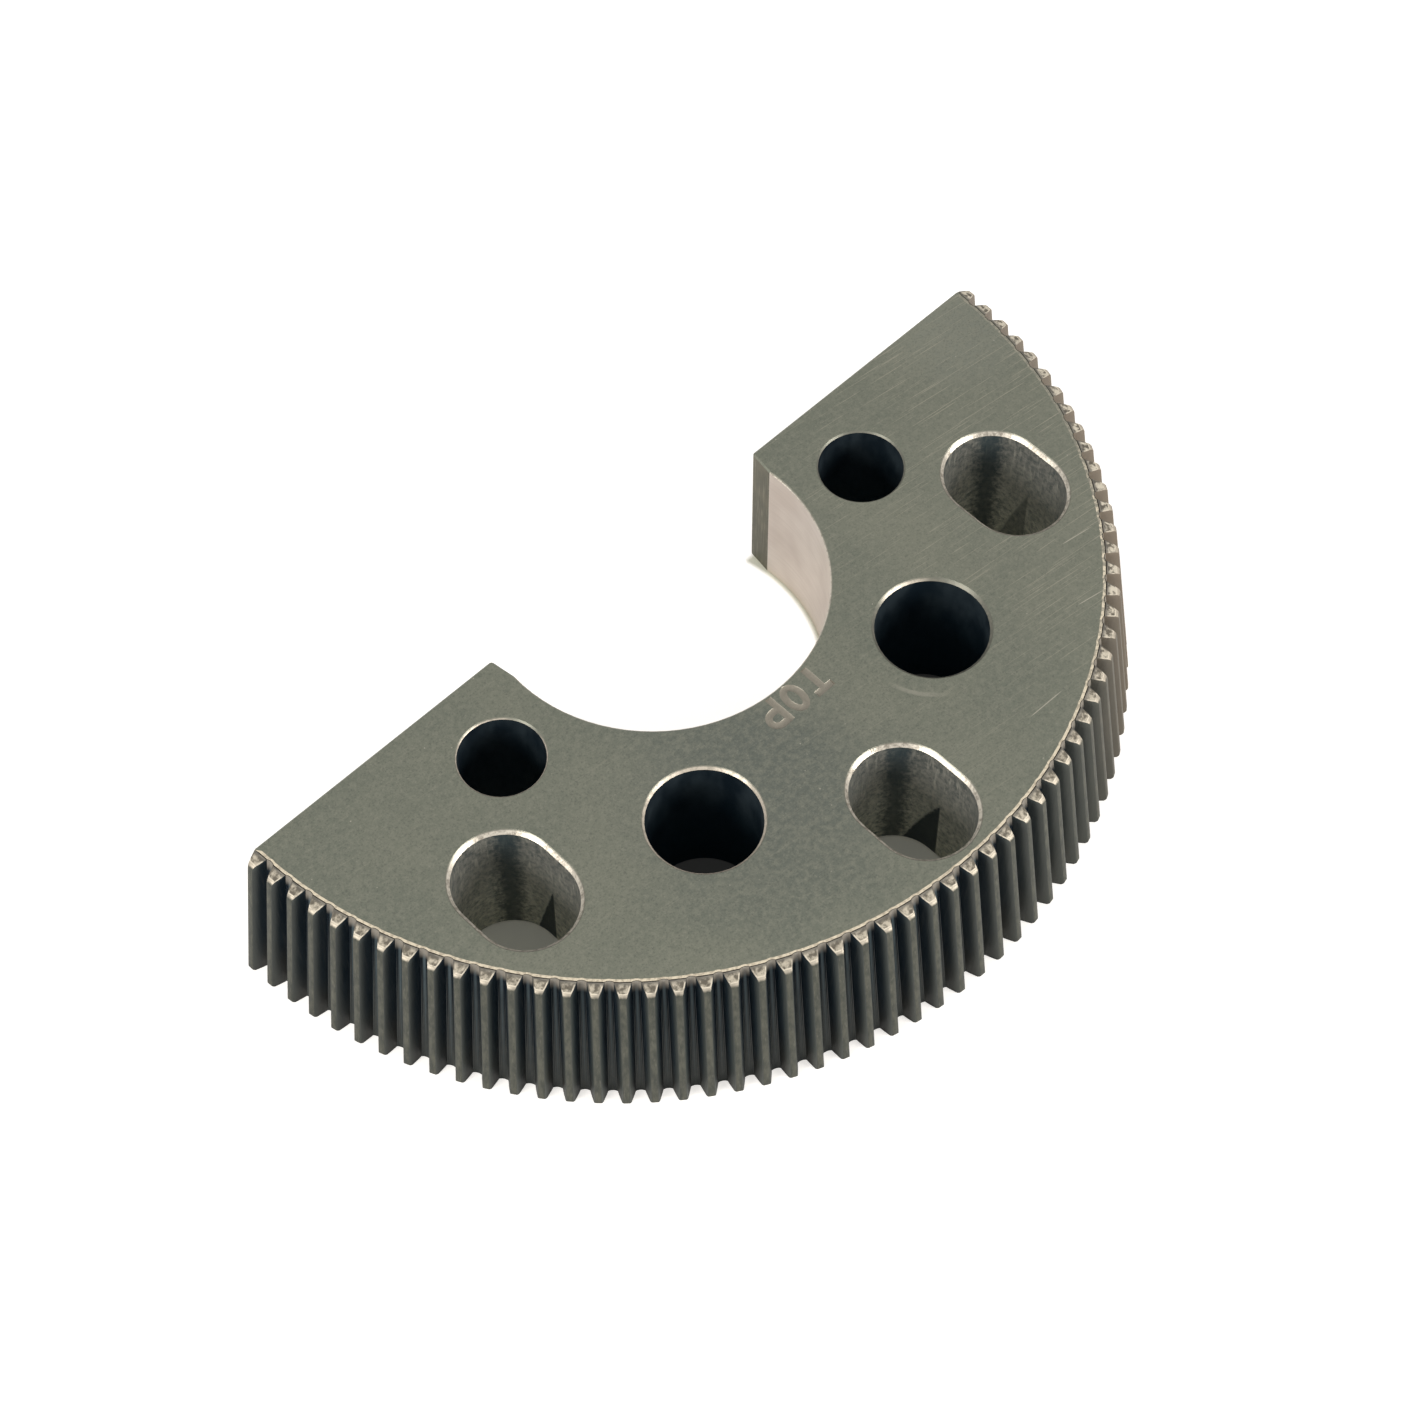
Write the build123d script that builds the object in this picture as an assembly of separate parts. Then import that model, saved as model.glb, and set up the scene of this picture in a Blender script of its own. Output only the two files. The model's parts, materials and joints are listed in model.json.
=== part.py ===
from build123d import *
import math
import os

# Plate
thickness = 25.4
end_setback = 0.5

# Toothed rim: bevel teeth on a cone, with the small end at the top face
teeth_per_turn = 120
pressure_angle = 20.0
top_pitch_radius = 70.45
rim_taper = 8.3
addendum_in_modules = 1.0
dedendum_in_modules = 0.85
gap_bottom_round = 0.15
tooth_top_bevel_wall = 0.1
tooth_top_bevel_angle = 20.0
tooth_bottom_chamfer = 0.4

# Notch round the pivot, open between the two straight ends
notch_radius = 25.4
notch_offset = 6.6
notch_mouth_depth = 4.2
notch_mouth_flare = 0.6
open_side_edge_break = 0.25
end_corner_radius = 0.5

# Round holes, laid out on rays from the notch's axis
small_hole_radius = 6.3
small_hole_wall = 4.6
small_hole_angle = 79.4
small_hole_chamfer = 0.25
big_hole_radius = 8.25
big_hole_wall = 6.8
big_hole_angle = 34.0
big_hole_chamfer = 0.45

# Slots, all cut along the sector's line of symmetry
slot_width = 14.8
slot_length = 19.2
slot_chamfer = 0.6
middle_slot_rim_wall = 1.75
side_slot_rim_wall = 3.7
side_slot_angle = 56.4

# Sizes that follow from the ones above
pitch_step = 360.0 / teeth_per_turn
sector_teeth = teeth_per_turn // 2
bottom_pitch_radius = top_pitch_radius + thickness * math.tan(math.radians(rim_taper))
top_root_radius = top_pitch_radius * (1 - 2 * dedendum_in_modules / teeth_per_turn)
bottom_tip_radius = bottom_pitch_radius * (1 + 2 * addendum_in_modules / teeth_per_turn)
bevel_start_radius = top_root_radius + gap_bottom_round + tooth_top_bevel_wall
overrun = 1.0
beyond_rim = bottom_tip_radius + overrun


def rim_point(radius, angle):
    """A point at an angle in degrees from the line of symmetry, which runs along -Y."""
    turn = math.radians(angle)
    return (radius * math.sin(turn), -radius * math.cos(turn))


def involute(angle):
    return math.tan(angle) - angle


def half_tooth_angle(radius, pitch_radius):
    """Half of a tooth's thickness at a radius, as an angle in degrees."""
    pressure = math.radians(pressure_angle)
    base_radius = pitch_radius * math.cos(pressure)
    at_radius = math.acos(min(1.0, base_radius / radius))
    half_at_pitch = math.pi / (2 * teeth_per_turn)
    return math.degrees(half_at_pitch + involute(pressure) - involute(at_radius))


def toothed_outline(pitch_radius):
    """A little more than half a gear, closed through its centre."""
    module = 2 * pitch_radius / teeth_per_turn
    tip = pitch_radius + addendum_in_modules * module
    root = pitch_radius - dedendum_in_modules * module
    foot = root + gap_bottom_round
    tip_half, pitch_half, foot_half = (
        half_tooth_angle(radius, pitch_radius) for radius in (tip, pitch_radius, foot)
    )
    first_centre = -(sector_teeth + 1) * pitch_step / 2
    edges = []
    for index in range(sector_teeth + 2):
        centre = first_centre + index * pitch_step
        if index > 0:
            edges += ThreePointArc(
                rim_point(foot, centre - pitch_step + foot_half),
                rim_point(root, centre - pitch_step / 2),
                rim_point(foot, centre - foot_half),
            ).edges()
        for side in (-1, 1):
            low = rim_point(foot, centre + side * foot_half)
            middle = rim_point(pitch_radius, centre + side * pitch_half)
            high = rim_point(tip, centre + side * tip_half)
            if side < 0:
                edges += ThreePointArc(low, middle, high).edges()
                edges += Line(high, rim_point(tip, centre + tip_half)).edges()
            else:
                edges += ThreePointArc(high, middle, low).edges()
    last_centre = first_centre + (sector_teeth + 1) * pitch_step
    edges += Line(rim_point(foot, last_centre + foot_half), (0, 0)).edges()
    edges += Line((0, 0), rim_point(foot, first_centre - foot_half)).edges()
    return Face(Wire(edges))


def toothed_blank():
    """The rim's ruled teeth, each straight from the bottom face to the top face."""
    bottom = toothed_outline(bottom_pitch_radius)
    top = Pos(0, 0, thickness) * toothed_outline(top_pitch_radius)
    return loft([bottom, top], ruled=True)


def turned_envelope():
    """The turned shape that bevels the tooth ends at the top and chamfers them below."""
    bevel_drop = (beyond_rim - bevel_start_radius) * math.tan(math.radians(tooth_top_bevel_angle))
    profile = Polyline(
        (0, 0),
        (bottom_tip_radius - tooth_bottom_chamfer, 0),
        (beyond_rim, beyond_rim - bottom_tip_radius + tooth_bottom_chamfer),
        (beyond_rim, thickness - bevel_drop),
        (bevel_start_radius, thickness),
        (0, thickness),
        close=True,
    )
    return revolve(Plane.XZ * make_face(profile), Axis.Z, 360)


def through_cut(section, edge_break):
    """A cut through the plate, with a 45 degree chamfer where it meets each face."""
    mouth = offset(section, edge_break)
    cut = extrude(section, thickness)
    cut += loft([mouth, Pos(0, 0, edge_break) * section], ruled=True)
    cut += loft([Pos(0, 0, thickness) * mouth, Pos(0, 0, thickness - edge_break) * section], ruled=True)
    return cut


def open_side_section():
    """All that is cut off on the open side: the notch, its flared mouth and beyond the ends."""
    kink_y = -end_setback - notch_mouth_depth
    kink_x = math.sqrt(notch_radius**2 - (kink_y + notch_offset) ** 2)
    mouth_x = kink_x + notch_mouth_flare
    flare = math.atan2(notch_mouth_flare, notch_mouth_depth)
    corner_reach = end_corner_radius * math.tan((math.pi / 2 - flare) / 2)
    notch_bottom = (0, -notch_offset - notch_radius)
    outline = ThreePointArc((-kink_x, kink_y), notch_bottom, (kink_x, kink_y)).edges()
    for side in (-1, 1):
        corner_start = (
            side * (mouth_x - corner_reach * math.sin(flare)),
            -end_setback - corner_reach * math.cos(flare),
        )
        corner_end = (side * (mouth_x + corner_reach), -end_setback)
        along_flare = (side * math.sin(flare), math.cos(flare))
        outline += Line((side * kink_x, kink_y), corner_start).edges()
        outline += TangentArc(corner_start, corner_end, tangent=along_flare).edges()
        outline += Line(corner_end, (side * beyond_rim, -end_setback)).edges()
        outline += Line((side * beyond_rim, -end_setback), (side * beyond_rim, beyond_rim)).edges()
    outline += Line((-beyond_rim, beyond_rim), (beyond_rim, beyond_rim)).edges()
    return make_face(outline)


def hole_place(radius, wall, angle):
    """Where a round hole goes, given the metal left between it and the notch."""
    x, y = rim_point(notch_radius + wall + radius, angle)
    return Pos(x, y - notch_offset)


def slot_place(rim_wall, angle):
    """Where a slot goes, given the metal left between its outer end and the tooth roots."""
    x, y = rim_point(top_root_radius - rim_wall - slot_width / 2, angle)
    return Pos(x, y + (slot_length - slot_width) / 2)


def sector_gear():
    gear = toothed_blank() & turned_envelope()
    gear -= through_cut(open_side_section(), open_side_edge_break)
    for side in (-1, 1):
        small = hole_place(small_hole_radius, small_hole_wall, side * small_hole_angle)
        gear -= through_cut(small * Circle(small_hole_radius), small_hole_chamfer)
        big = hole_place(big_hole_radius, big_hole_wall, side * big_hole_angle)
        gear -= through_cut(big * Circle(big_hole_radius), big_hole_chamfer)
    slot = Rot(0, 0, 90) * SlotOverall(slot_length, slot_width)
    for rim_wall, angle in (
        (side_slot_rim_wall, -side_slot_angle),
        (middle_slot_rim_wall, 0),
        (side_slot_rim_wall, side_slot_angle),
    ):
        gear -= through_cut(slot_place(rim_wall, angle) * slot, slot_chamfer)
    return gear


os.makedirs("parts", exist_ok=True)
export_step(sector_gear(), "parts/sector_gear.step")
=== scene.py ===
import json
import math

import bmesh
import bpy
from mathutils import Matrix, Vector, noise


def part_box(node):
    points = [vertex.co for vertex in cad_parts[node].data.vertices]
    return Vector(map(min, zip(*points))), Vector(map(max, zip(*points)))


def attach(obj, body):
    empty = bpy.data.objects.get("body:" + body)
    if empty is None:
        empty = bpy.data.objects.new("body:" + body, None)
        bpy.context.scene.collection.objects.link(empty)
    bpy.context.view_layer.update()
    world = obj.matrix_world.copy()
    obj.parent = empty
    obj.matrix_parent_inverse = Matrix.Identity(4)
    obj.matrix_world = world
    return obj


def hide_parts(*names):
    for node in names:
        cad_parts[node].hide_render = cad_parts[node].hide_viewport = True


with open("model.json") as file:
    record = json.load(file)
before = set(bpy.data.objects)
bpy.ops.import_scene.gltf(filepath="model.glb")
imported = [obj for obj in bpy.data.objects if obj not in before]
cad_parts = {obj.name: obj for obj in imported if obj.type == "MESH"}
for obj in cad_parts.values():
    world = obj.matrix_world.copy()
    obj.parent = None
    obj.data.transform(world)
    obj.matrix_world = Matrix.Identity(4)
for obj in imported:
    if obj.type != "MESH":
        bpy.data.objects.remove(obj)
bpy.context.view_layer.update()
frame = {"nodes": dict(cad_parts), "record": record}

# The plate
# One piece of alloy steel, sawn from thick plate and milled flat, with a thin olive-grey scale from
# its heat treatment. This is a copy of its solid, merged into whole faces so that it can be worked.
mm = 0.001
top_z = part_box("sector_gear")[1].z
merge_reach = 0.002 * mm
flat_angle = math.radians(0.2)
gear = bpy.data.objects.new("sector_gear_finished", frame["nodes"]["sector_gear"].data.copy())
bpy.context.scene.collection.objects.link(gear)
gear.data.materials.clear()
bpy.ops.object.select_all(action="DESELECT")
gear.select_set(True)
bpy.context.view_layer.objects.active = gear
bpy.ops.mesh.customdata_custom_splitnormals_clear()
bpy.ops.object.mode_set(mode="EDIT")
bpy.ops.mesh.select_all(action="SELECT")
bpy.ops.mesh.remove_doubles(threshold=merge_reach)
bpy.ops.mesh.dissolve_limited(angle_limit=flat_angle)


class Value:
    """A number that changes over a surface. Sums written on it become nodes."""

    def __init__(self, finish, socket):
        self.finish = finish
        self.socket = socket

    def work(self, operation, *others):
        """Does a sum on this value, followed by any others that the sum takes."""
        return self.finish.work(operation, self, *others)

    def __add__(self, other):
        return self.work("ADD", other)

    def __sub__(self, other):
        return self.work("SUBTRACT", other)

    def __rsub__(self, other):
        return self.finish.work("SUBTRACT", other, self)

    def __mul__(self, other):
        return self.work("MULTIPLY", other)

    def __abs__(self):
        return self.work("ABSOLUTE")

    __radd__ = __add__
    __rmul__ = __mul__


class Finish:
    """The finish of one kind of surface. Its patterns are laid out in millimetres."""

    def __init__(self, name):
        self.material = bpy.data.materials.new(name)
        self.material.use_nodes = True
        self.tree = self.material.node_tree
        self.shader = self.tree.nodes["Principled BSDF"]
        coordinates = self.node("ShaderNodeTexCoord", {}, {}, "Object")
        scale = {0: coordinates, "Scale": 1 / mm}
        self.place = self.node("ShaderNodeVectorMath", {"operation": "SCALE"}, scale, 0)

    def node(self, kind, settings, inputs, output):
        """Adds a node: its type, its settings, what goes into its sockets, and the output wanted."""
        node = self.tree.nodes.new(kind)
        for name, setting in settings.items():
            setattr(node, name, setting)
        self.feed(node, inputs)
        return Value(self, node.outputs[output])

    def feed(self, node, inputs):
        """Links values that change to a node's sockets, and sets plain numbers and colours there."""
        for name, value in inputs.items():
            if isinstance(value, Value):
                self.tree.links.new(value.socket, node.inputs[name])
            else:
                node.inputs[name].default_value = value

    def work(self, operation, *values):
        """A sum on numbers, in the order that they are given."""
        return self.node("ShaderNodeMath", {"operation": operation}, dict(enumerate(values)), 0)

    def work_places(self, operation, *places):
        """A sum on places. Only a length comes out as a number."""
        output = "Value" if operation == "LENGTH" else "Vector"
        settings = {"operation": operation}
        return self.node("ShaderNodeVectorMath", settings, dict(enumerate(places)), output)

    def laid(self, stretch, turn):
        """Coordinates turned about Z by an angle in degrees, then stretched."""
        turned = {"Vector": self.place, "Rotation": (0, 0, math.radians(turn))}
        mapped = self.node("ShaderNodeMapping", {}, turned, 0)
        return self.work_places("MULTIPLY", mapped, tuple(1 / factor for factor in stretch))

    def grain(self, size, detail=3, stretch=(1, 1, 1), turn=0, rough=0.55):
        """Cloudy grain from 0 to 1, its lumps about as large as the size in millimetres."""
        pattern = {"Vector": self.laid(stretch, turn), "Scale": 1 / size}
        pattern.update({"Detail": detail, "Roughness": rough})
        return self.node("ShaderNodeTexNoise", {}, pattern, "Fac")

    def dots(self, spacing, radius):
        """Scattered dots, 1 at the middle of each and 0 from its radius outwards."""
        pattern = {"Vector": self.place, "Scale": 1 / spacing}
        far = self.node("ShaderNodeTexVoronoi", {}, pattern, "Distance")
        return self.step(far, radius / spacing, 0)

    def along(self, axis):
        """The place along one axis, X, Y or Z, in millimetres."""
        return self.node("ShaderNodeSeparateXYZ", {}, {0: self.place}, axis)

    def round_rim(self):
        """The angle round the teeth's axis, in degrees from -Y towards +X."""
        return self.along("X").work("ARCTAN2", self.along("Y") * -1) * math.degrees(1)

    def reach(self, x, y):
        """How far a point is, on the level, from an upright line at x and y, in millimetres."""
        away = self.work_places("SUBTRACT", self.place, (x, y, 0))
        level = self.work_places("MULTIPLY", away, (1, 1, 0))
        return self.work_places("LENGTH", level)

    def scratch(self, start, end, width):
        """A thin straight scratch between two places, 1 along its middle and 0 beside it."""
        length = math.dist(start, end)
        ahead = ((end[0] - start[0]) / length, (end[1] - start[1]) / length)
        x = self.along("X") - start[0]
        y = self.along("Y") - start[1]
        sideways = abs(x * -ahead[1] + y * ahead[0])
        onward = x * ahead[0] + y * ahead[1]
        ends = self.step(onward, 0, 1) * self.step(onward, length, length - 2)
        return self.step(sideways, width, 0) * ends

    def step(self, value, low, high):
        """Goes smoothly from 0 to 1 as the value goes from low to high."""
        inputs = {"Value": value, "From Min": low, "From Max": high}
        return self.node("ShaderNodeMapRange", {"interpolation_type": "SMOOTHSTEP"}, inputs, 0)

    def blend(self, share, first, second):
        """A colour that goes from the first to the second as the share goes from 0 to 1."""
        inputs = {0: share, 6: self.colour(first), 7: self.colour(second)}
        return self.node("ShaderNodeMix", {"data_type": "RGBA"}, inputs, 2)

    def colour(self, value):
        """A colour as a socket takes it: one that changes, or three plain shares made opaque."""
        return value if isinstance(value, Value) else (*value, 1)

    def done(self, colour, roughness, metallic, relief, depth, gloss=0.5):
        """Puts a colour, roughness, metallic share, relief in millimetres and gloss on the surface."""
        raised = {"Height": relief, "Distance": depth * mm, "Strength": 1.0}
        inputs = {"Base Color": colour, "Roughness": roughness, "Metallic": metallic}
        inputs["Normal"] = self.node("ShaderNodeBump", {}, raised, 0)
        inputs["Specular IOR Level"] = gloss
        self.feed(self.shader, inputs)


# Places on the top face, in millimetres: a patch of painted shade, an end of painted light, and the
# ring that a washer left round the right-hand bolt hole, which can only be made out round one place.
shade_patch_place = (-14, -40)
light_patch_place = (64, -4)
washer_place = (22.62, -40.13)
washer_seen_place = (12.6, -46.7)
washer_inner = 11.2
washer_outer = 12.1
washer_soft = 0.3
scratch_width = 0.11
scratches = (
    ((14.8, -33.6), (15.2, -34.5)),
    ((46.2, -43.3), (52.2, -44.25)),
    ((21.4, -60.1), (28.5, -60.25)),
    ((40, -52), (45.5, -53)),
)
scale = Finish("mill_scale")
cloud = scale.grain(18, detail=2)
mottle = scale.grain(0.9, detail=4, rough=0.65)
fine = scale.grain(0.3, detail=3, rough=0.7)
brushing = scale.grain(0.22, detail=3, stretch=(45, 1, 1), turn=6)
hairs = scale.step(scale.grain(0.17, detail=2, stretch=(60, 1, 1), turn=7), 0.6, 0.7)
brushed = scale.step(scale.along("X") + cloud * 36, 15, 75)
# Painted shade over the middle of the face, and painted light at its far end.
painted_shade_patch = scale.step(scale.reach(*shade_patch_place) + cloud * 16, 36, 14)
painted_light_end = scale.step(scale.reach(*light_patch_place) + cloud * 10, 20, 8)
speck = scale.dots(2.2, 0.16) * scale.step(scale.grain(4, detail=1), 0.46, 0.58)
olive = scale.blend(scale.step(cloud, 0.3, 0.7), (0.175, 0.192, 0.152), (0.215, 0.226, 0.176))
olive = scale.blend(painted_shade_patch * 0.6, olive, (0.105, 0.125, 0.118))
olive = scale.blend(painted_light_end * 0.5, olive, (0.27, 0.285, 0.245))
olive = scale.blend(scale.step(mottle, 0.35, 0.7) * 0.6, olive, (0.265, 0.27, 0.215))
olive = scale.blend(scale.step(fine, 0.5, 0.3) * 0.6, olive, (0.10, 0.112, 0.095))
olive = scale.blend(scale.step(fine, 0.55, 0.75) * 0.5, olive, (0.34, 0.335, 0.27))
olive = scale.blend(brushing * (0.15 + brushed * 0.4), olive, (0.29, 0.29, 0.225))
olive = scale.blend(hairs * (0.1 + brushed * 0.45), olive, (0.46, 0.43, 0.34))
olive = scale.blend(speck, olive, (0.55, 0.52, 0.43))
ring = scale.reach(*washer_place) + mottle * 0.5
past_inner = scale.step(ring, washer_inner, washer_inner + washer_soft)
before_outer = scale.step(ring, washer_outer, washer_outer - washer_soft)
ring_seen = scale.step(scale.reach(*washer_seen_place) + cloud * 4, 8, 3)
olive = scale.blend(past_inner * before_outer * ring_seen * 0.45, olive, (0.42, 0.40, 0.33))
for start, end in scratches:
    olive = scale.blend(scale.scratch(start, end, scratch_width) * 0.8, olive, (0.6, 0.56, 0.46))
relief = mottle * 0.5 + brushing * (0.2 + brushed * 0.8) + fine * 0.4
scale.done(olive, 0.36 + mottle * 0.2, 0.4, relief, 0.02)
gear.data.materials.append(scale.material)

# The bright cuts
# Chamfers are cut through the scale to bright steel, with a creamy sheen. Scale has crept back over
# their outer edge. On the round holes, painted shade dulls them towards the +X side and round one
# spot on the other side, and one spot on the +X side is left out of it.
middle_z = top_z / mm / 2
crept_grey = (0.2, 0.205, 0.165)
chamfer_shade_place = (-29.6, -11.9)
chamfer_unshaded_place = (24.7, -32.1)


def crept_scale(finish, patch, width):
    """Where scale has crept back over a chamfer, for a width in millimetres from its outer edge."""
    from_middle = abs(finish.along("Z") - middle_z) + patch * 0.1
    return finish.step(from_middle, middle_z - width, middle_z - 0.02)


bright = Finish("bright_cut")
patch = bright.grain(0.7, detail=3, rough=0.6)
streak = bright.grain(0.2, detail=2, stretch=(1, 1, 4))
cream = bright.blend(bright.step(patch, 0.62, 0.3), (0.80, 0.74, 0.63), (0.38, 0.34, 0.28))
cream = bright.blend(bright.step(streak, 0.5, 0.75) * 0.5, cream, (0.92, 0.87, 0.77))
cream = bright.blend(crept_scale(bright, patch, 0.16) * 0.85, cream, crept_grey)
bright.done(cream, 0.26 + patch * 0.2, 0.6, patch + streak, 0.02)

dull = Finish("dull_cut")
dull_patch = dull.grain(0.7, detail=3, rough=0.6)
# Painted shade: darker towards +X and round one spot, but not round another spot on the +X side.
chamfer_shade = dull.step(dull.along("X"), -20, 16) + dull.step(dull.reach(*chamfer_shade_place), 4, 2)
chamfer_shade = chamfer_shade - dull.step(dull.reach(*chamfer_unshaded_place), 5, 2)
worn_and_shaded = dull.blend(chamfer_shade, (0.72, 0.64, 0.53), (0.2, 0.2, 0.165))
worn_and_shaded = dull.blend(dull.step(dull_patch, 0.4, 0.7) * 0.6, worn_and_shaded, (0.30, 0.28, 0.225))
worn_and_shaded = dull.blend(crept_scale(dull, dull_patch, 0.14) * 0.85, worn_and_shaded, crept_grey)
dull.done(worn_and_shaded, 0.34 + dull_patch * 0.2, 0.5, dull_patch, 0.02)

# The notch
# A round opening that a hub fits into, with its mouth between the two straight ends. Its wall is
# bored smooth and bright, and has a chamfer at each face.
mounts = {mount["name"]: mount for mount in frame["record"]["mounts"]}
notch_centre = Vector(mounts["pivot_notch"]["pos_m"])
notch_radius = mounts["pivot_notch"]["dims"]["r_mm"] * mm
wall_slack = 0.06 * mm
chamfer_reach = 0.5 * mm
bored = Finish("bored_wall")
rings = bored.grain(0.35, detail=3, stretch=(30, 30, 1))
haze = bored.grain(9, detail=2)
tan = bored.blend(bored.step(haze, 0.3, 0.7), (0.70, 0.61, 0.54), (0.85, 0.77, 0.69))
tan = bored.blend(rings * 0.35, tan, (0.45, 0.39, 0.34))
bored.done(tan, 0.26 + rings * 0.15, 0.8, rings, 0.01)


def coat(finish, wanted):
    """Gives a finish to the gear's faces that a test picks out."""
    if finish.material.name not in gear.data.materials:
        gear.data.materials.append(finish.material)
    slot = gear.data.materials.find(finish.material.name)
    for face in bmesh.from_edit_mesh(gear.data).faces:
        if wanted(face, face.calc_center_median()):
            face.material_index = slot


def is_wall(face):
    """A face that stands upright."""
    return abs(face.normal.z) < 0.1


def is_chamfer(face):
    """A face that slopes at about 45 degrees."""
    return 0.5 < abs(face.normal.z) < 0.85


def from_notch_wall(point):
    """How far a point is outside the bored circle of the notch."""
    return math.hypot(point.x - notch_centre.x, point.y - notch_centre.y) - notch_radius


coat(bored, lambda face, place: is_wall(face) and abs(from_notch_wall(place)) < wall_slack)
coat(bright, lambda face, place: is_chamfer(face) and abs(from_notch_wall(place)) < chamfer_reach)

# The straight ends
# The blank was sawn in half, and the two ends and the notch's mouth were milled, in fine upright
# strokes of the cutter that have kept a brown tint.
end_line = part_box("sector_gear")[1].y
mouth_depth = 5 * mm
end_cut = Finish("milled_end")
stroke = end_cut.grain(0.3, detail=3, stretch=(1, 1, 14))
tint = end_cut.grain(5, detail=3)
umber = end_cut.blend(end_cut.step(tint, 0.3, 0.7), (0.108, 0.106, 0.076), (0.155, 0.145, 0.102))
umber = end_cut.blend(end_cut.step(stroke, 0.45, 0.75) * 0.5, umber, (0.3, 0.28, 0.22))
umber = end_cut.blend(end_cut.step(stroke, 0.45, 0.3) * 0.5, umber, (0.08, 0.08, 0.062))
end_cut.done(umber, 0.38 + stroke * 0.15, 0.4, stroke, 0.03)


def is_end(face, place):
    """An upright face of the straight ends or of the notch's mouth."""
    return is_wall(face) and place.y > end_line - mouth_depth and from_notch_wall(place) > wall_slack


coat(end_cut, is_end)

# The round holes
# Four holes for bolts, drilled right through. They are blue-black inside from oil and heat, and
# bluest low down. Each has a small bright chamfer at both faces.
openings = frame["record"]["physics"]["openings"]
hole_reach = 9 * mm


def centres(word):
    """The middles of the openings whose names have a word in them."""
    boxes = [opening["box_m"] for opening in openings if word in opening["name"]]
    return [(Vector(low) + Vector(high)) / 2 for low, high in boxes]


def is_near(place, middles, reach):
    """Whether a place is, on the level, within a reach of any of some middles."""
    return any((place - middle).xy.length < reach for middle in middles)


holes = centres("hole")
drilled = Finish("drilled_wall")
oil = drilled.grain(3.5, detail=3, stretch=(1, 1, 2))
swirl = drilled.grain(0.3, detail=2, stretch=(12, 12, 1))
ink = drilled.blend(drilled.step(oil, 0.35, 0.7), (0.006, 0.014, 0.022), (0.026, 0.04, 0.05))
ink = drilled.blend(drilled.step(drilled.along("Z"), 20, 4), ink, (0.022, 0.055, 0.08))
drilled.done(ink, 0.42 + oil * 0.2, 0.3, swirl, 0.015)
coat(drilled, lambda face, place: is_wall(face) and is_near(place, holes, hole_reach))
coat(dull, lambda face, place: is_chamfer(face) and is_near(place, holes, hole_reach))

# The slots
# Three slots milled right through, each with a broad bright chamfer. Their walls are rough and
# mottled, with painted shade near the top and painted light low down. A band of painted dark
# reflection runs from top to bottom, and a wedge of painted shadow lies below.
slot_reach = 10.5 * mm
slots = centres("slot")
shade_line = Vector((0.7151, -0.6991))
reflection_band_place = -1.6
shadow_wedge_side = 4.5
shadow_wedge_height = 13.6
shadow_wedges = ((1.9, 0.96), (-0.2, 0.96), (1.0, 0.5))
milled = Finish("milled_wall")
lump = milled.grain(0.9, detail=5, rough=0.75)
chatter = milled.grain(0.5, detail=3, stretch=(1, 1, 7))
depth = milled.step(milled.along("Z") + lump * 4, 25, 9)
glint = milled.dots(2.2, 0.16) * milled.step(milled.grain(5, detail=1), 0.48, 0.6)
# Painted shade near the top of each wall and painted light low down.
upper = milled.blend(milled.step(lump, 0.3, 0.7), (0.075, 0.09, 0.09), (0.27, 0.265, 0.235))
lower = milled.blend(milled.step(lump, 0.3, 0.7), (0.34, 0.365, 0.335), (0.95, 0.92, 0.80))
brown = milled.blend(depth, upper, lower)
brown = milled.blend(milled.step(chatter, 0.5, 0.75) * 0.3, brown, (0.72, 0.69, 0.58))
# The painted dark reflection band and the painted shadow wedge lie at distances from the slot's
# middle along one level line. Each shadow wedge has the place of its foot and how strong it is, from
# the left slot to the right.
across = milled.along("X") * shade_line.x + milled.along("Y") * shade_line.y
for middle, (shadow_foot, shadow_strength) in zip(slots, shadow_wedges):
    aside = across - middle.xy.dot(shade_line) / mm
    dark_reflection_band = milled.step(abs(aside - reflection_band_place) + lump * 3, 4.4, 2.0)
    brown = milled.blend(dark_reflection_band * 0.8, brown, (0.032, 0.055, 0.066))
    slope = shadow_wedge_height / (shadow_wedge_side - shadow_foot)
    slant = (aside - shadow_foot) * slope + lump * 4 - 2
    shadow_wedge = milled.step(aside, shadow_wedge_side + 0.15, shadow_wedge_side - 0.05)
    shadow_wedge = shadow_wedge * milled.step(slant - milled.along("Z"), -0.6, 0.6)
    brown = milled.blend(shadow_wedge * shadow_strength, brown, (0.012, 0.03, 0.045))
brown = milled.blend(glint * 0.8, brown, (0.9, 0.85, 0.75))
milled.done(brown, 0.28 + lump * 0.2, 0.2, lump + chatter * 0.6, 0.06, gloss=0.35)
coat(milled, lambda face, place: is_wall(face) and is_near(place, slots, slot_reach))
coat(bright, lambda face, place: is_chamfer(face) and is_near(place, slots, slot_reach))

# The teeth
# Sixty bevel teeth, cut in the round side. The tool left their sides smooth and dark. Their tips
# keep the grey of the turned blank, with their edges a little rounded by use.
teeth_per_turn = 120
rim_taper = 0.146
tooth_root = 69.44 * mm
tips_from = 72.5 * mm
foot_chamfers_from = 74 * mm
tooth_tip_top = 71.3 * mm
tip_edge_start = 71.2 * mm
tip_round = 0.14 * mm
end_round = 0.5 * mm
foot_height = 0.3 * mm
bevel_start = 69.6 * mm
bevel_slant = top_z - 1.2 * mm
facet_angle = math.radians(4)
end_crease = math.radians(25)
edge_crease = math.radians(40)


def tooth_phase(finish):
    """An angle that makes a full turn from the middle of one gap to the middle of the next."""
    return finish.round_rim() * math.radians(teeth_per_turn)


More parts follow.
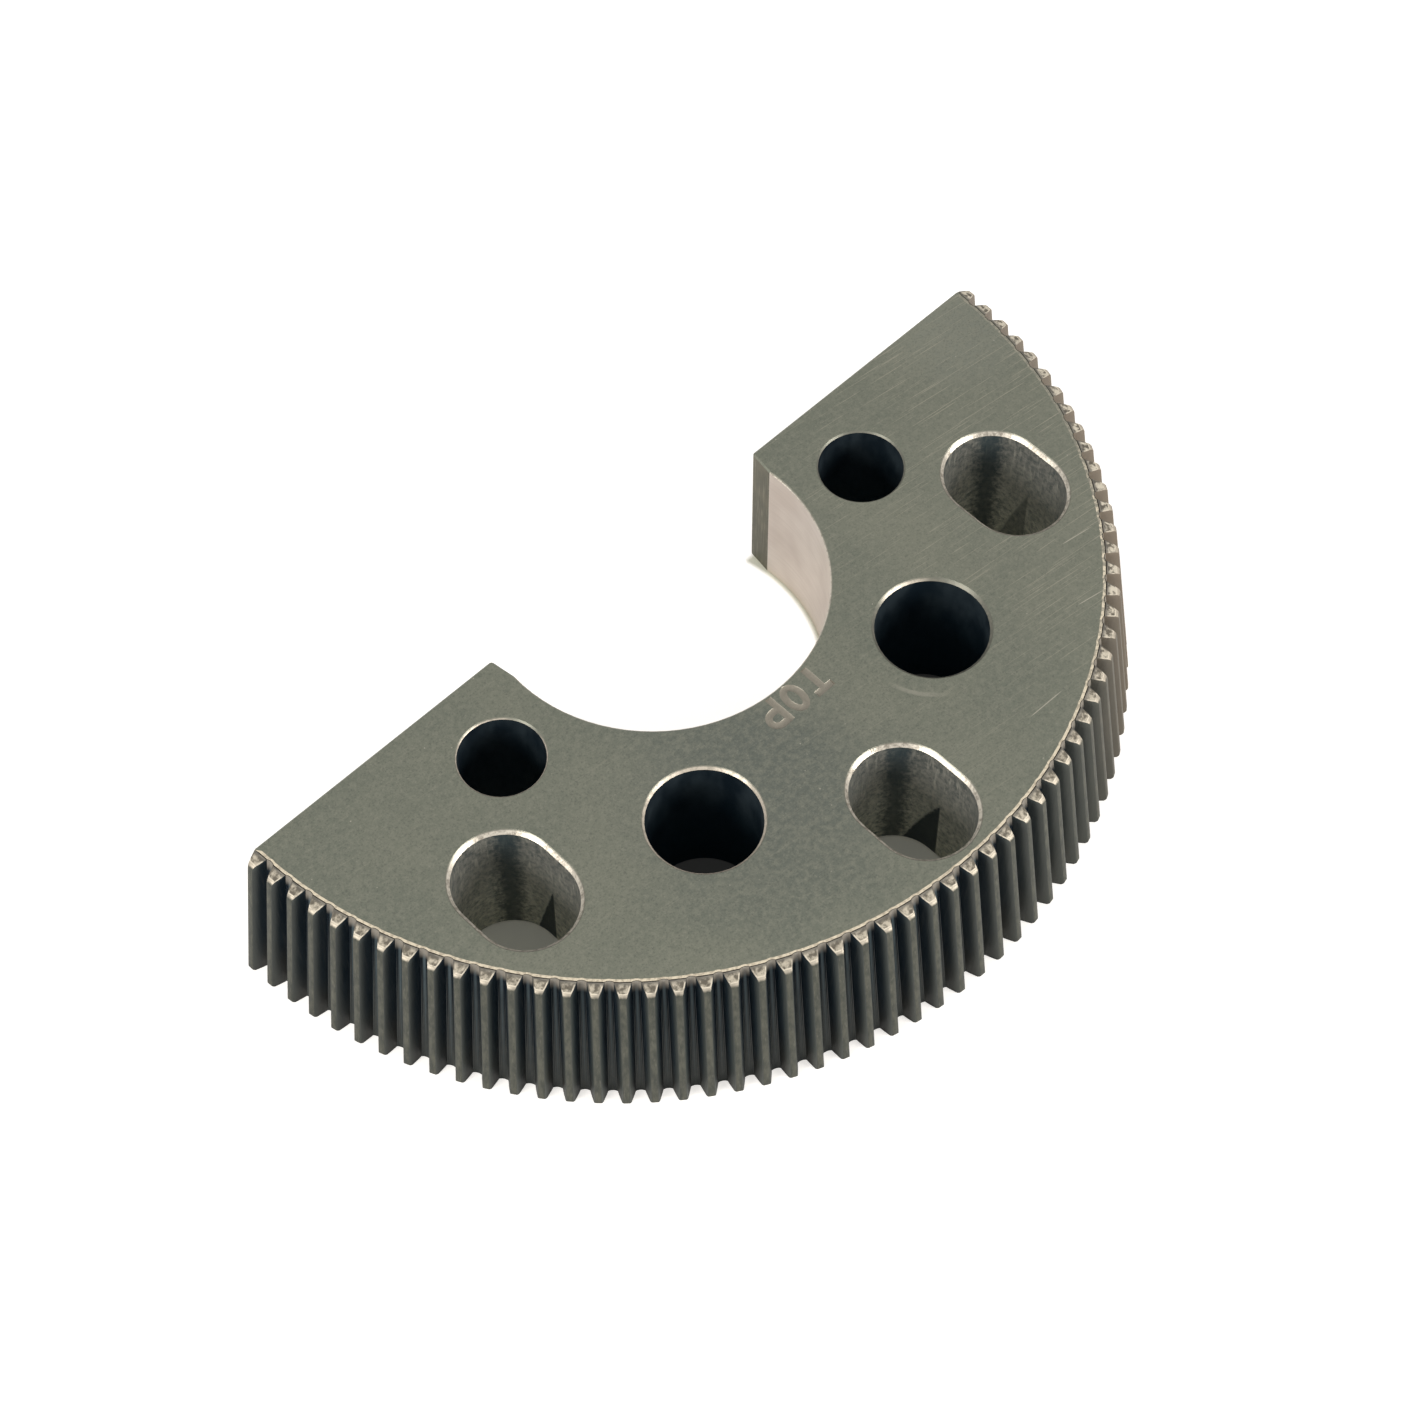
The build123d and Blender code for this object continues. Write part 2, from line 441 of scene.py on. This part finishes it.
def pick(kind, wanted):
    """Selects the gear's faces or edges that a test picks out, and nothing else."""
    bpy.ops.mesh.select_mode(type=kind)
    bpy.ops.mesh.select_all(action="DESELECT")
    shape = bmesh.from_edit_mesh(gear.data)
    parts = {"FACE": shape.faces, "EDGE": shape.edges}[kind]
    for part in parts:
        if wanted(part):
            part.select_set(True)
    bmesh.update_edit_mesh(gear.data)


def from_axis(point):
    """How far a point is from the axis that the teeth are cut about."""
    return math.hypot(point.x, point.y)


def outward(face, place):
    """How squarely a face looks away from the teeth's axis: 1 on a tip, 0 on a tooth's side."""
    return (face.normal.x * place.x + face.normal.y * place.y) / from_axis(place)


def is_tooth_top(face, place):
    """A facet of a tooth's upper bevel."""
    return 0.9 < face.normal.z < 0.97 and from_axis(place) > bevel_start and place.z > bevel_slant


def is_level(edge):
    """An edge that runs round the teeth's axis, not up, down or outwards."""
    first, second = [corner.co for corner in edge.verts]
    runs_round = abs(from_axis(first) - from_axis(second)) < 0.05 * mm
    return runs_round and abs(first.z - second.z) < 0.02 * mm


def is_tooth_end(edge):
    """The short edge where a tooth's tip meets its bevelled upper end."""
    first, second = [corner.co for corner in edge.verts]
    if min(from_axis(first), from_axis(second)) < tooth_tip_top or min(first.z, second.z) < bevel_slant:
        return False
    return is_level(edge) and edge.calc_face_angle() > end_crease


def is_tooth_edge(edge):
    """Part of the long edges of a tooth's tip, and of their bends at its rounded upper end."""
    first, second = [corner.co for corner in edge.verts]
    if min(from_axis(first), from_axis(second)) < tip_edge_start or min(first.z, second.z) < foot_height:
        return False
    return not is_level(edge) and edge.calc_face_angle() > edge_crease


flank = Finish("tooth_side")
flank_cloud = flank.grain(4, detail=3, stretch=(1, 1, 4))
flank_streak = flank.grain(0.3, detail=3, stretch=(1, 1, 30))
flank_light_turn = flank.round_rim() + flank_cloud * 10
tipward = flank.step(flank.reach(0, 0) + flank.along("Z") * rim_taper, 73.9, 75.4)
browner_low = flank.step(flank.along("Z") + flank_cloud * 14, 18, 6)
navy = flank.blend(flank.step(flank_cloud, 0.3, 0.7), (0.006, 0.014, 0.022), (0.018, 0.028, 0.036))
navy = flank.blend(browner_low * 0.4, navy, (0.09, 0.078, 0.054))
navy = flank.blend(tipward * 0.7, navy, (0.075, 0.083, 0.072))
navy = flank.blend(flank.step(flank_streak, 0.5, 0.8) * 0.5, navy, (0.06, 0.065, 0.062))
# Painted light on the tooth sides towards +X, stronger further round.
navy = flank.blend(flank.step(flank_light_turn, -6, 34) * 0.55, navy, (0.085, 0.09, 0.072))
navy = flank.blend(flank.step(flank_light_turn, 24, 52), navy, (0.205, 0.168, 0.125))
flank.done(navy, 0.3 + flank_streak * 0.2, 0.15, flank_streak, 0.015, gloss=0.3)

gap = Finish("gap_bottom")
gap_streak = gap.grain(0.3, detail=3, stretch=(1, 1, 25))
gap_cloud = gap.grain(3, detail=3, stretch=(1, 1, 3))
# A painted highlight along the middle of each gap, painted shade at its sides, and painted light near
# the top.
gap_highlight = gap.step(tooth_phase(gap).work("COSINE"), 0.90, 0.985)
gap_top_light = gap.step(gap.along("Z") + gap_cloud, top_z / mm - 2, top_z / mm - 0.3)
slate = gap.blend(gap_highlight, (0.003, 0.009, 0.016), (0.10, 0.135, 0.152))
slate = gap.blend(gap.step(gap_cloud, 0.4, 0.7) * 0.4, slate, (0.012, 0.018, 0.024))
slate = gap.blend(gap_streak * 0.2, slate, (0.03, 0.034, 0.036))
slate = gap.blend(gap_top_light * 0.85, slate, (0.33, 0.30, 0.255))
gap.done(slate, 0.5 + gap_streak * 0.2, 0.0, gap_streak, 0.02, gloss=0.0)

land = Finish("tooth_tip")
land_grain = land.grain(0.8, detail=4, stretch=(1, 1, 3), rough=0.65)
land_streak = land.grain(0.25, detail=2, stretch=(1, 1, 20))
# Painted light on the tips towards +X, and painted shade along the edges of each tip.
land_light_side = land.step(land.round_rim() + land_grain * 6, 20, 50)
land_edge_shade = land.step(tooth_phase(land).work("COSINE") + land_streak * 0.1, -0.82, -0.56)
land_lip = land.step(land.along("Z") + land_grain * 0.5, top_z / mm - 0.8, top_z / mm - 0.35)
grey = land.blend(land.step(land_grain, 0.3, 0.75), (0.052, 0.057, 0.047), (0.112, 0.113, 0.088))
grey = land.blend(land.step(land_streak, 0.55, 0.8) * 0.5, grey, (0.19, 0.185, 0.15))
grey = land.blend(land_edge_shade * 0.65, grey, (0.03, 0.037, 0.04))
grey = land.blend(land_light_side * 0.8, grey, (0.22, 0.182, 0.138))
grey = land.blend(land_lip * 0.8, grey, (0.64, 0.57, 0.46))
land.done(grey, 0.36 + land_grain * 0.2, 0.4, land_grain + land_streak, 0.02, gloss=0.35)

coat(flank, lambda face, place: from_axis(place) > tooth_root and is_wall(face))
coat(gap, lambda face, place: from_axis(place) > tooth_root and outward(face, place) > 0.6)
coat(land, lambda face, place: from_axis(place) > tips_from and outward(face, place) > 0.9)
coat(land, lambda face, place: from_axis(place) > foot_chamfers_from and face.normal.z < -0.5)
pick("FACE", lambda face: is_tooth_top(face, face.calc_center_median()))
bpy.ops.mesh.dissolve_limited(angle_limit=facet_angle, use_dissolve_boundaries=False)
pick("EDGE", is_tooth_end)
bpy.ops.mesh.bevel(offset=end_round, segments=4, affect="EDGES", clamp_overlap=True)
coat(land, lambda face, place: from_axis(place) > tip_edge_start and 0.1 < face.normal.z < 0.92)
pick("EDGE", is_tooth_edge)
bpy.ops.mesh.bevel(offset=tip_round, segments=2, affect="EDGES", clamp_overlap=True)

# The tooth tops
# The upper ends of the teeth are turned off to a low bevel. The tool tore each one a little, and left
# it mottled brown and cream inside a broken burr. Their cream towards +X is painted light, and the
# burr's bright side and outer end are painted highlights.
burr_width = 0.18 * mm
loose_reach = 0.01 * mm
least_top = mm**2
torn = Finish("tooth_top")
tear = torn.grain(0.9, detail=3, rough=0.6)
nick = torn.grain(0.25, detail=2)
# Painted light on the ends of the teeth towards +X.
lit_end = torn.step(torn.round_rim(), 15, 45) * torn.step(tear, 0.42, 0.58)
inner_end = torn.step(torn.reach(0, 0) + tear * 0.4, 70.6, 70.0)
shred = torn.blend(torn.step(tear, 0.38, 0.62), (0.17, 0.15, 0.115), (0.60, 0.54, 0.43))
shred = torn.blend(torn.step(nick, 0.42, 0.3) * 0.5, shred, (0.08, 0.072, 0.055))
shred = torn.blend(lit_end, shred, (0.80, 0.73, 0.59))
shred = torn.blend(inner_end * 0.7, shred, (0.155, 0.145, 0.125))
torn.done(shred, 0.34 + tear * 0.25, 0.4, tear + nick * 0.3, 0.06)

edge_burr = Finish("tooth_burr")
flake = edge_burr.grain(0.8, detail=3, rough=0.6)
# Painted highlight on the side of each burr that faces the lamps, and on its outer end.
favour = edge_burr.step(edge_burr.round_rim(), -75, 25) * 2 - 1
lit_side = tooth_phase(edge_burr).work("SINE") * favour + flake
outer_end = edge_burr.step(edge_burr.reach(0, 0) + flake * 0.3, 70.9, 71.2)
burr_inner_end = edge_burr.step(edge_burr.reach(0, 0) + flake * 0.4, 70.5, 70.1)
lit = edge_burr.step(lit_side, 0, 0.7).work("MAXIMUM", outer_end)
curl = edge_burr.blend(lit, (0.19, 0.17, 0.135), (0.82, 0.74, 0.60))
curl = edge_burr.blend(edge_burr.step(flake, 0.5, 0.34) * 0.6, curl, (0.27, 0.24, 0.19))
curl = edge_burr.blend(burr_inner_end * 0.85, curl, (0.16, 0.15, 0.13))
edge_burr.done(curl, 0.3 + flake * 0.2, 0.35, flake, 0.05)

pick("FACE", lambda face: is_tooth_top(face, face.calc_center_median()))
bpy.ops.mesh.remove_doubles(threshold=loose_reach)
coat(edge_burr, is_tooth_top)
pick("FACE", lambda face: is_tooth_top(face, face.calc_center_median()) and face.calc_area() > least_top)
bpy.ops.mesh.inset(use_individual=True, thickness=burr_width, depth=0)
coat(torn, lambda face, place: face.select)

# The rim of the top face
# Facing the plate rolled a bright burr over along the rim, its cream partly a painted highlight, with a
# fine groove of painted shadow outside it. Both have worn faint near the end on the +X side, and both
# run out before they reach a straight end.
rim_reach = 69.3 * mm
face_slack = 0.01 * mm
edge_break = 0.25 * mm
burr_fade = 0.8 * mm
wobble_size = 1.1 * mm
burr_wobble = 0.035 * mm
same_reach = 0.0005 * mm
groove = Finish("rim_groove")
groove_mottle = groove.grain(0.4, detail=3)
# Painted shadow in the groove.
groove_shadow = groove.blend(groove_mottle, (0.02, 0.018, 0.014), (0.06, 0.052, 0.04))
groove_shadow = groove.blend(groove.step(groove.round_rim(), 48, 68) * 0.8, groove_shadow, (0.2, 0.2, 0.165))
groove.done(groove_shadow, 0.6, 0.2, groove_mottle, 0.01)

burr = Finish("rim_burr")
bead = burr.grain(0.55, detail=3, rough=0.6)
broken = burr.step(burr.round_rim(), 15, 50) * burr.step(bead, 0.62, 0.42)
faint = burr.step(burr.round_rim(), 48, 68)
# The burr's cream is bright steel and partly a painted highlight.
burr_highlight = burr.blend(burr.step(bead, 0.3, 0.6), (0.52, 0.45, 0.34), (0.86, 0.76, 0.58))
burr_highlight = burr.blend(broken * 0.8, burr_highlight, (0.26, 0.255, 0.21))
burr_highlight = burr.blend(faint * 0.8, burr_highlight, (0.235, 0.235, 0.19))
burr.done(burr_highlight, 0.3 + bead * 0.2, 0.2, bead, 0.05)

# Each step inwards, in millimetres: the radius it goes to, the least it moves, how far below the
# face it ends, and its finish.
rim_steps = (
    (69.66, 0.03, 0.15, groove),
    (69.58, 0.04, 0.15, groove),
    (69.55, 0.02, 0.02, groove),
    (69.43, 0.08, 0.0, burr),
    (69.27, 0.12, 0.0, burr),
    (69.14, 0.10, 0.02, burr),
    (69.02, 0.08, 0.0, scale),
)


def is_top_face(face):
    """The large flat face at the top."""
    return face.normal.z > 0.999 and face.calc_center_median().z > top_z - face_slack


def is_rim_edge(edge):
    """An edge of the top face where it meets the teeth."""
    corners = [corner.co for corner in edge.verts]
    return all(corner.z > top_z - face_slack and from_axis(corner) > rim_reach for corner in corners)


for finish in (groove, burr):
    gear.data.materials.append(finish.material)
pick("FACE", is_top_face)
bpy.ops.mesh.delete(type="FACE")
pick("EDGE", is_rim_edge)
for step_radius, least_step, drop, finish in rim_steps:
    bpy.ops.mesh.extrude_region_move()
    finish_slot = gear.data.materials.find(finish.material.name)
    rim = bmesh.from_edit_mesh(gear.data)
    for edge in rim.edges:
        if edge.select:
            for face in edge.link_faces:
                face.material_index = finish_slot
    for corner in rim.verts:
        if corner.select:
            was = from_axis(corner.co)
            share = min(1, max(0, (end_line - edge_break - corner.co.y) / burr_fade))
            wobble = noise.noise(corner.co / wobble_size) * burr_wobble
            now = min(step_radius * mm + wobble, was - least_step * mm)
            now = was + (now - was) * share
            corner.co.x *= now / was
            corner.co.y *= now / was
            corner.co.z = top_z - drop * share * mm
bpy.ops.mesh.select_all(action="SELECT")
bpy.ops.mesh.remove_doubles(threshold=same_reach)
pick("EDGE", lambda edge: edge.is_boundary)
bpy.ops.mesh.fill(use_beauty=True)
coat(scale, lambda face, place: face.select)
bpy.ops.mesh.select_all(action="SELECT")
bpy.ops.mesh.normals_make_consistent(inside=False)
bpy.ops.object.mode_set(mode="OBJECT")

# The stamp
# A plain word of three letters in rounded strokes, pressed cold into the top face beside the notch.
# It says which face goes up, and reads upright from the notch's side.
stamp_bottom = -32.3
stamp_top = -37.2
stroke_width = 1.1
stroke_depth = 0.2
press_radius = (stroke_width**2 / 4 + stroke_depth**2) / (2 * stroke_depth)
weld_reach = 0.001 * mm
stamped = Finish("stamped_groove")
stamp_grain = stamped.grain(0.4, detail=3)
pale = stamped.blend(stamp_grain, (0.25, 0.235, 0.19), (0.36, 0.325, 0.265))
stamped.done(pale, 0.36, 0.35, stamp_grain, 0.01)


def press(points, closed=False):
    """Presses one rounded stroke into the top face, along points in millimetres."""
    line = bpy.data.curves.new("stroke", "CURVE")
    line.dimensions = "3D"
    line.bevel_depth = press_radius * mm
    line.bevel_resolution = 8
    line.use_fill_caps = not closed
    path = line.splines.new("POLY")
    path.points.add(len(points) - 1)
    for point, (x, y) in zip(path.points, points):
        point.co = (x * mm, y * mm, top_z + (press_radius - stroke_depth) * mm, 1)
    path.use_cyclic_u = closed
    tool = bpy.data.objects.new("stroke", line)
    bpy.context.scene.collection.objects.link(tool)
    bpy.ops.object.select_all(action="DESELECT")
    tool.select_set(True)
    bpy.context.view_layer.objects.active = tool
    bpy.ops.object.convert(target="MESH")
    tool.data.materials.append(stamped.material)
    bpy.ops.object.mode_set(mode="EDIT")
    bpy.ops.mesh.select_all(action="SELECT")
    bpy.ops.mesh.remove_doubles(threshold=weld_reach)
    bpy.ops.mesh.normals_make_consistent(inside=False)
    bpy.ops.object.mode_set(mode="OBJECT")
    bpy.ops.object.select_all(action="DESELECT")
    gear.select_set(True)
    bpy.context.view_layer.objects.active = gear
    cut = gear.modifiers.new("stroke", "BOOLEAN")
    cut.operation = "DIFFERENCE"
    cut.solver = "EXACT"
    cut.material_mode = "TRANSFER"
    cut.object = tool
    bpy.ops.object.modifier_apply(modifier=cut.name)
    bpy.data.objects.remove(tool)


def arc(x, y, width, height, start, end, steps):
    """Points along part of an ellipse, from one angle to another in degrees."""
    angles = [math.radians(start + (end - start) * index / steps) for index in range(steps + 1)]
    return [(x + width * math.cos(angle), y + height * math.sin(angle)) for angle in angles]


upright_x = 4.4
bar_y = stamp_top + stroke_width / 2
bar_ends = (2.8, 6.0)
oval_x = 0.25
oval_y = -34.85
oval_half_width = 1.2
oval_half_height = 2.0
oval = arc(oval_x, oval_y, oval_half_width, oval_half_height, 0, 337.5, 15)
stem_x = -2.6
bowl_x = -4.0
bowl_y = -35.6
bowl_radius = 1.15
bowl = arc(bowl_x, bowl_y, bowl_radius, bowl_radius, 270, 90, 8)
press([(upright_x, stamp_bottom), (upright_x, bar_y)])
press([(x, bar_y) for x in bar_ends])
press(oval, closed=True)
press([(stem_x, stamp_bottom), (stem_x, stamp_top)])
press([(stem_x, bowl_y - bowl_radius)] + bowl + [(stem_x, bowl_y + bowl_radius)])
bpy.ops.object.mode_set(mode="EDIT")
bpy.ops.mesh.select_all(action="SELECT")
bpy.ops.mesh.remove_doubles(threshold=weld_reach)
bpy.ops.mesh.dissolve_degenerate(threshold=weld_reach)
bpy.ops.object.mode_set(mode="OBJECT")

# The finished gear
# One piece of steel with nothing fixed to it and nothing that moves. Its curves are shaded smooth,
# and its edges stay crisp.
crisp_angle = math.radians(30)
bpy.ops.object.shade_smooth_by_angle(angle=crisp_angle)
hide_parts("sector_gear")
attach(gear, "root")

# The table
# A matt white table top that the gear lies on. The camera sees it pure white, apart from the gear's
# shadow. Under the plate it has painted shade, seen through the holes and slots.
table_size = 6
rim_edge = 70
notch_edge = notch_radius / mm
bpy.ops.mesh.primitive_plane_add(size=table_size, location=(0, 0, 0))
table = bpy.context.object
table.name = "table"
white = Finish("table_white")
seen = white.node("ShaderNodeLightPath", {}, {}, "Is Camera Ray")
mirrored = white.node("ShaderNodeLightPath", {}, {}, "Is Glossy Ray")
beside_rim = white.step(white.reach(0, 0), rim_edge - 0.5, rim_edge + 0.5)
behind_ends = white.step(white.along("Y"), -1.5, -0.5)
in_notch = white.step(white.reach(0, notch_centre.y / mm), notch_edge, notch_edge - 1)
uncovered = (beside_rim + behind_ends + in_notch).work("MINIMUM", 1.0)
glow = 0.04 + uncovered * 0.58 + in_notch * 0.1
# Painted shade under the plate, darkest under the big holes.
paper = white.blend(uncovered, (0.80, 0.805, 0.665), (0.84, 0.83, 0.82))
for middle in centres("big_hole"):
    shade_under_hole = white.step(white.reach(middle.x / mm, middle.y / mm), 10, 9)
    paper = white.blend(shade_under_hole, paper, (0.06, 0.07, 0.07))
    glow = glow - shade_under_hole * 0.03
table_inputs = {"Base Color": paper, "Roughness": 0.9, "Emission Color": (1, 0.97, 0.93, 1)}
table_inputs["Emission Strength"] = seen * glow + mirrored * uncovered * 0.14
white.feed(white.shader, table_inputs)
table.data.materials.append(white.material)

# The light
# A white room with two large soft lamps, a little warm, a metre from the gear. One stands on the
# left and the other at the front right, both fairly low.
room_strength = 0.5
lamp_reach = 1.0
lamp_width = 0.5
lamp_warmth = (1, 0.965, 0.92)
lamps = (
    ("left", (-0.886, 0.031, 0.464), 6.0),
    ("right", (0.388, -0.840, 0.379), 6.5),
)
world = bpy.data.worlds.new("studio")
world.use_nodes = True
world.node_tree.nodes["Background"].inputs["Color"].default_value = (1, 1, 1, 1)
world.node_tree.nodes["Background"].inputs["Strength"].default_value = room_strength
bpy.context.scene.world = world
for name, aim, power in lamps:
    lamp = bpy.data.lights.new(name, "AREA")
    lamp.shape = "DISK"
    lamp.size = lamp_width
    lamp.energy = power
    lamp.color = lamp_warmth
    light = bpy.data.objects.new(name, lamp)
    bpy.context.scene.collection.objects.link(light)
    light.location = Vector(aim).normalized() * lamp_reach
    light.rotation_euler = light.location.to_track_quat("Z", "Y").to_euler()

# The camera
# It stands half a metre from the gear, at its front left, and looks steeply down on it through a
# long lens.
camera_place = Vector((-186.3, -208.7, 424.75)) * mm
camera_look = Vector((0.3736, 0.3841, -0.8443))
camera_right = Vector((0.7151, -0.6991, -0.0017))
lens_in_pixels = 3381.56
photo_width = 1411
eye = bpy.data.cameras.new("camera")
eye.sensor_width = 36
eye.lens = lens_in_pixels / photo_width * eye.sensor_width
camera = bpy.data.objects.new("camera", eye)
bpy.context.scene.collection.objects.link(camera)
back = -camera_look.normalized()
right = (camera_right - back * camera_right.dot(back)).normalized()
turn = Matrix((right, back.cross(right), back)).transposed().to_4x4()
camera.matrix_world = Matrix.Translation(camera_place) @ turn
bpy.context.scene.camera = camera
bpy.context.scene.view_settings.view_transform = "Standard"
